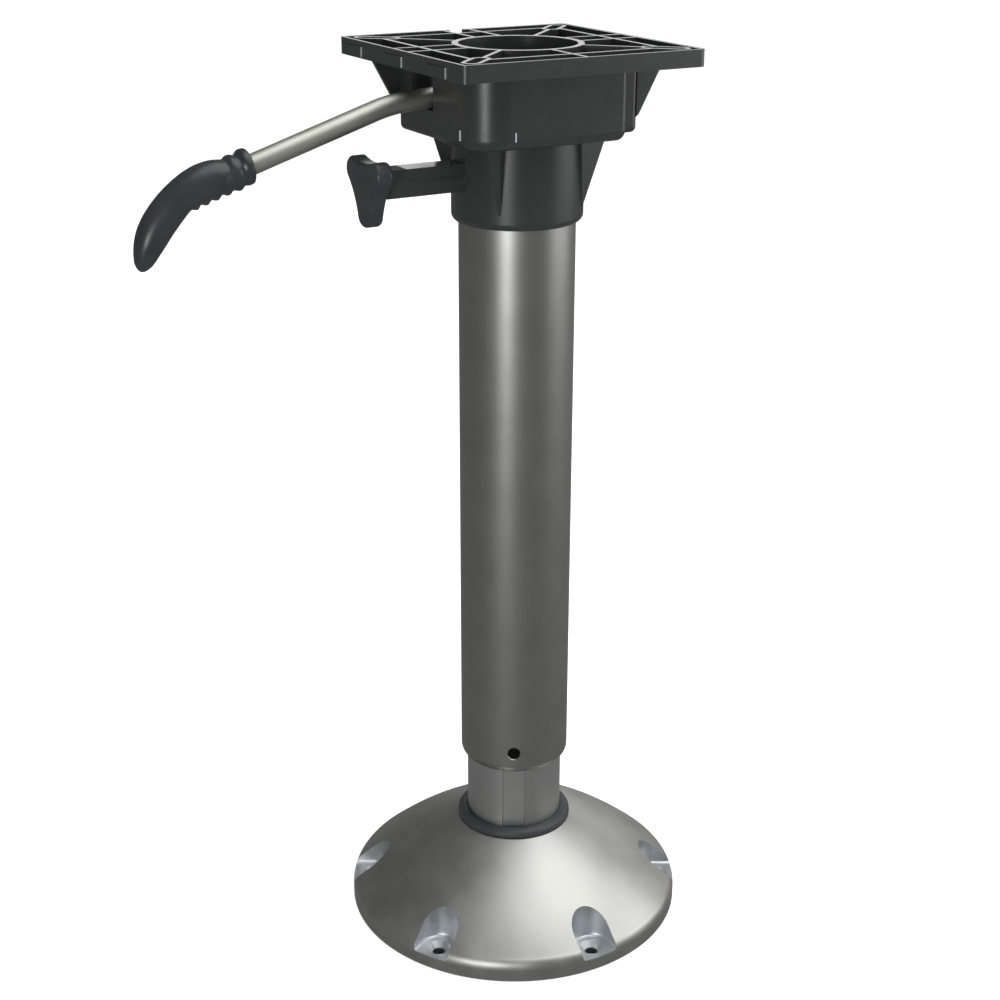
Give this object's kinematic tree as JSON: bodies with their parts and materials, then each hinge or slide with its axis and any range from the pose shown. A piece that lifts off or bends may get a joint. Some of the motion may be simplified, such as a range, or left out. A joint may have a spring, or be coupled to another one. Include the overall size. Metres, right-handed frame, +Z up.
{
  "type": "boat seat pedestal",
  "caption": "Height-adjustable boat seat pedestal: a gas-lift column on a round cast base, with a swivelling ribbed seat plate, a height lever and a clamp knob.",
  "frame": {"origin": "centre of the base's underside, on the column's axis", "axes": "+Z up the column; the seat plate's sides lie along X and Y; the height lever and the clamp knob point along -X"},
  "size_m": [0.3592, 0.2286, 0.59],
  "materials": {
    "base_casting": "satin cast and buffed",
    "base_collar_ring": "satin black moulding",
    "base_screw_1": "zinc plated",
    "base_screw_2": "zinc plated",
    "base_screw_3": "zinc plated",
    "base_screw_4": "zinc plated",
    "lower_tube": "satin anodised",
    "tube_foot_plug": "turned",
    "foot_plug_pin_1": "zinc plated",
    "foot_plug_pin_2": "zinc plated",
    "upper_slide_bush": "plain grey nylon",
    "rod_nut": "zinc plated",
    "piston_rod": "bright plated",
    "rod_piston": "plain dark nylon",
    "upper_tube": "satin anodised",
    "lower_guide_bush": "plain dark nylon",
    "tube_top_plug": "turned",
    "top_plug_pin_1": "zinc plated",
    "top_plug_pin_2": "zinc plated",
    "gas_cylinder": "satin black paint",
    "cylinder_gland": "plain dark nylon",
    "thrust_washer": "plain grey nylon",
    "retaining_washer": "zinc plated",
    "neck_nut": "zinc plated",
    "release_pin": "bright plated",
    "swivel_mount": "satin black, finely textured moulding",
    "swivel_bush": "plain grey nylon",
    "friction_insert": "turned",
    "lever_pivot_pin": "bright plated",
    "pivot_clip_near": "black oxide",
    "pivot_clip_far": "black oxide",
    "lever_rod": "satin",
    "lever_grip": "satin black",
    "friction_pad": "turned",
    "friction_knob": "satin black, finely textured moulding",
    "friction_screw": "zinc plated"
  },
  "bodies": {
    "base": {"base_casting": "base_casting", "base_collar_ring": "base_collar_ring", "base_screw_1": "base_screw_1", "base_screw_2": "base_screw_2", "base_screw_3": "base_screw_3", "base_screw_4": "base_screw_4", "lower_tube": "lower_tube", "tube_foot_plug": "tube_foot_plug", "foot_plug_pin_1": "foot_plug_pin_1", "foot_plug_pin_2": "foot_plug_pin_2", "upper_slide_bush": "upper_slide_bush", "rod_nut": "rod_nut", "piston_rod": "piston_rod", "rod_piston": "rod_piston"},
    "column": {"upper_tube": "upper_tube", "lower_guide_bush": "lower_guide_bush", "tube_top_plug": "tube_top_plug", "top_plug_pin_1": "top_plug_pin_1", "top_plug_pin_2": "top_plug_pin_2", "gas_cylinder": "gas_cylinder", "cylinder_gland": "cylinder_gland", "thrust_washer": "thrust_washer", "retaining_washer": "retaining_washer", "neck_nut": "neck_nut"},
    "valve": {"release_pin": "release_pin"},
    "mount": {"swivel_mount": "swivel_mount", "swivel_bush": "swivel_bush", "friction_insert": "friction_insert", "lever_pivot_pin": "lever_pivot_pin", "pivot_clip_near": "pivot_clip_near", "pivot_clip_far": "pivot_clip_far"},
    "lever": {"lever_rod": "lever_rod", "lever_grip": "lever_grip"},
    "clamp": {"friction_pad": "friction_pad"},
    "knob": {"friction_knob": "friction_knob", "friction_screw": "friction_screw"}
  },
  "joints": [
    {"name": "height_slide", "type": "slide", "parent": "base", "child": "column", "axis": [0, 0, 1], "range_m": [0, 0.17]},
    {"name": "swivel", "type": "hinge", "parent": "column", "child": "mount", "pos_m": [0, 0, 0.5471], "axis": [0, 0, 1], "continuous": true},
    {"name": "lever_pull", "type": "hinge", "parent": "mount", "child": "lever", "pos_m": [-0.026, 0, 0.5671], "axis": [0, 1, 0], "range_deg": [0, 7.7]},
    {"name": "valve_press", "type": "slide", "parent": "column", "child": "valve", "axis": [0, 0, -1], "range_m": [0, 0.0035]},
    {"name": "pad_slide", "type": "slide", "parent": "mount", "child": "clamp", "axis": [-1, 0, 0], "range_m": [0, 0.0026]},
    {"name": "knob_turn", "type": "hinge", "parent": "clamp", "child": "knob", "pos_m": [-0.0936, 0, 0.5134], "axis": [-1, 0, 0], "range_deg": [0, 720]}
  ],
  "couplings": [
    {"joint": "valve_press", "follows": "lever_pull", "m_per_rad": 0.026},
    {"joint": "pad_slide", "follows": "knob_turn", "m_per_rad": 0.00019894}
  ]
}
